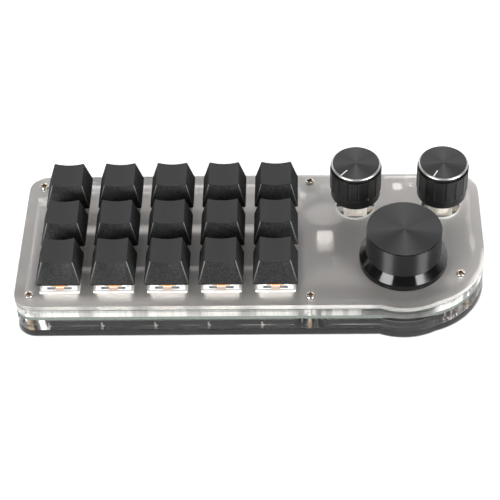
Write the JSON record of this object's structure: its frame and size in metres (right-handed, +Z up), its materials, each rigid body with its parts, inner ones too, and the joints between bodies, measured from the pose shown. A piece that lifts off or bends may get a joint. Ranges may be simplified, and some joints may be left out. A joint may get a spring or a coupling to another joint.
{
  "type": "macro keypad with knobs",
  "caption": "Low desktop keypad: sculpted dark keys in rows beside fluted knobs and a wide flared knob, on stacked acrylic sheets with clear spacers.",
  "frame": {"origin": "on the table, under the middle of the outline's box", "axes": "+X along the long side towards the knobs, +Y away from the user towards the data socket, +Z up"},
  "size_m": [0.1842, 0.0738, 0.04],
  "materials": {
    "black_acrylic": "polished black acrylic sheet",
    "clear_acrylic": "clear acrylic with laser-cut edges",
    "frosted_acrylic": "frosted smoke acrylic, satin face and bright cut edge",
    "board_laminate": "glass-fibre laminate with dark solder mask",
    "steel_screw": "plated steel",
    "brass_standoff": "turned brass",
    "cap_plastic": "fine-textured black plastic",
    "black_anodised": "black anodised, turned and fluted",
    "spun_anodised": "black anodised, spun top and glossy flare",
    "switch_white": "white moulded plastic",
    "stem_orange": "orange moulded plastic",
    "socket_black": "black moulded plastic with tinned tabs",
    "encoder_plastic": "dark green moulded plastic",
    "encoder_metal": "stamped nickel-plated steel",
    "shaft_metal": "turned aluminium",
    "rotor_plastic": "moulded plastic",
    "set_screw_steel": "black oxide steel",
    "usb_steel": "nickel-plated steel shell",
    "header_white": "white moulded plastic",
    "chip_black": "moulded epoxy with tinned pins"
  },
  "bodies": {
    "case": {"bottom_plate": "black_acrylic", "lower_spacer": "clear_acrylic", "circuit_board": "board_laminate", "upper_spacer": "clear_acrylic", "top_plate": "frosted_acrylic", "standoffs": "brass_standoff", "top_screws": "steel_screw", "bottom_screws": "steel_screw", "usb_socket": "usb_steel", "board_header": "header_white", "controller_chip": "chip_black", "switch_bases": "switch_white", "switch_covers": "switch_white", "switch_sockets": "socket_black", "encoder_bases": "encoder_plastic", "left_encoder_frame": "encoder_metal", "right_encoder_frame": "encoder_metal", "big_encoder_frame": "encoder_metal"},
    "key_11": {"keycap_11": "cap_plastic", "switch_stem_11": "stem_orange"},
    "key_12": {"keycap_12": "cap_plastic", "switch_stem_12": "stem_orange"},
    "key_13": {"keycap_13": "cap_plastic", "switch_stem_13": "stem_orange"},
    "key_14": {"keycap_14": "cap_plastic", "switch_stem_14": "stem_orange"},
    "key_15": {"keycap_15": "cap_plastic", "switch_stem_15": "stem_orange"},
    "key_21": {"keycap_21": "cap_plastic", "switch_stem_21": "stem_orange"},
    "key_22": {"keycap_22": "cap_plastic", "switch_stem_22": "stem_orange"},
    "key_23": {"keycap_23": "cap_plastic", "switch_stem_23": "stem_orange"},
    "key_24": {"keycap_24": "cap_plastic", "switch_stem_24": "stem_orange"},
    "key_25": {"keycap_25": "cap_plastic", "switch_stem_25": "stem_orange"},
    "key_31": {"keycap_31": "cap_plastic", "switch_stem_31": "stem_orange"},
    "key_32": {"keycap_32": "cap_plastic", "switch_stem_32": "stem_orange"},
    "key_33": {"keycap_33": "cap_plastic", "switch_stem_33": "stem_orange"},
    "key_34": {"keycap_34": "cap_plastic", "switch_stem_34": "stem_orange"},
    "key_35": {"keycap_35": "cap_plastic", "switch_stem_35": "stem_orange"},
    "left_rotor": {"left_encoder_rotor": "rotor_plastic"},
    "left_knob_set": {"left_knob": "black_anodised", "left_shaft": "shaft_metal", "left_set_screw": "set_screw_steel"},
    "right_rotor": {"right_encoder_rotor": "rotor_plastic"},
    "right_knob_set": {"right_knob": "black_anodised", "right_shaft": "shaft_metal", "right_set_screw": "set_screw_steel"},
    "big_rotor": {"big_encoder_rotor": "rotor_plastic"},
    "big_knob_set": {"big_knob": "spun_anodised", "big_shaft": "shaft_metal", "big_set_screw": "set_screw_steel"}
  },
  "joints": [
    {"name": "key_11_press", "type": "slide", "parent": "case", "child": "key_11", "axis": [0, 0, -1], "range_m": [0, 0.004], "stiffness_N_per_m": 100, "springref_m": -0.003},
    {"name": "key_12_press", "type": "slide", "parent": "case", "child": "key_12", "axis": [0, 0, -1], "range_m": [0, 0.004], "stiffness_N_per_m": 100, "springref_m": -0.003},
    {"name": "key_13_press", "type": "slide", "parent": "case", "child": "key_13", "axis": [0, 0, -1], "range_m": [0, 0.004], "stiffness_N_per_m": 100, "springref_m": -0.003},
    {"name": "key_14_press", "type": "slide", "parent": "case", "child": "key_14", "axis": [0, 0, -1], "range_m": [0, 0.004], "stiffness_N_per_m": 100, "springref_m": -0.003},
    {"name": "key_15_press", "type": "slide", "parent": "case", "child": "key_15", "axis": [0, 0, -1], "range_m": [0, 0.004], "stiffness_N_per_m": 100, "springref_m": -0.003},
    {"name": "key_21_press", "type": "slide", "parent": "case", "child": "key_21", "axis": [0, 0, -1], "range_m": [0, 0.004], "stiffness_N_per_m": 100, "springref_m": -0.003},
    {"name": "key_22_press", "type": "slide", "parent": "case", "child": "key_22", "axis": [0, 0, -1], "range_m": [0, 0.004], "stiffness_N_per_m": 100, "springref_m": -0.003},
    {"name": "key_23_press", "type": "slide", "parent": "case", "child": "key_23", "axis": [0, 0, -1], "range_m": [0, 0.004], "stiffness_N_per_m": 100, "springref_m": -0.003},
    {"name": "key_24_press", "type": "slide", "parent": "case", "child": "key_24", "axis": [0, 0, -1], "range_m": [0, 0.004], "stiffness_N_per_m": 100, "springref_m": -0.003},
    {"name": "key_25_press", "type": "slide", "parent": "case", "child": "key_25", "axis": [0, 0, -1], "range_m": [0, 0.004], "stiffness_N_per_m": 100, "springref_m": -0.003},
    {"name": "key_31_press", "type": "slide", "parent": "case", "child": "key_31", "axis": [0, 0, -1], "range_m": [0, 0.004], "stiffness_N_per_m": 100, "springref_m": -0.003},
    {"name": "key_32_press", "type": "slide", "parent": "case", "child": "key_32", "axis": [0, 0, -1], "range_m": [0, 0.004], "stiffness_N_per_m": 100, "springref_m": -0.003},
    {"name": "key_33_press", "type": "slide", "parent": "case", "child": "key_33", "axis": [0, 0, -1], "range_m": [0, 0.004], "stiffness_N_per_m": 100, "springref_m": -0.003},
    {"name": "key_34_press", "type": "slide", "parent": "case", "child": "key_34", "axis": [0, 0, -1], "range_m": [0, 0.004], "stiffness_N_per_m": 100, "springref_m": -0.003},
    {"name": "key_35_press", "type": "slide", "parent": "case", "child": "key_35", "axis": [0, 0, -1], "range_m": [0, 0.004], "stiffness_N_per_m": 100, "springref_m": -0.003},
    {"name": "left_knob_turn", "type": "hinge", "parent": "case", "child": "left_rotor", "pos_m": [0.0418, 0.01973, 0.0175], "axis": [0, 0, 1], "continuous": true},
    {"name": "left_knob_push", "type": "slide", "parent": "left_rotor", "child": "left_knob_set", "axis": [0, 0, -1], "range_m": [0, 0.0005], "stiffness_N_per_m": 4000, "springref_m": -0.0005},
    {"name": "right_knob_turn", "type": "hinge", "parent": "case", "child": "right_rotor", "pos_m": [0.0763, 0.01973, 0.0175], "axis": [0, 0, 1], "continuous": true},
    {"name": "right_knob_push", "type": "slide", "parent": "right_rotor", "child": "right_knob_set", "axis": [0, 0, -1], "range_m": [0, 0.0005], "stiffness_N_per_m": 4000, "springref_m": -0.0005},
    {"name": "big_knob_turn", "type": "hinge", "parent": "case", "child": "big_rotor", "pos_m": [0.05975, -0.01213, 0.0175], "axis": [0, 0, 1], "continuous": true},
    {"name": "big_knob_push", "type": "slide", "parent": "big_rotor", "child": "big_knob_set", "axis": [0, 0, -1], "range_m": [0, 0.0005], "stiffness_N_per_m": 4000, "springref_m": -0.0005}
  ]
}
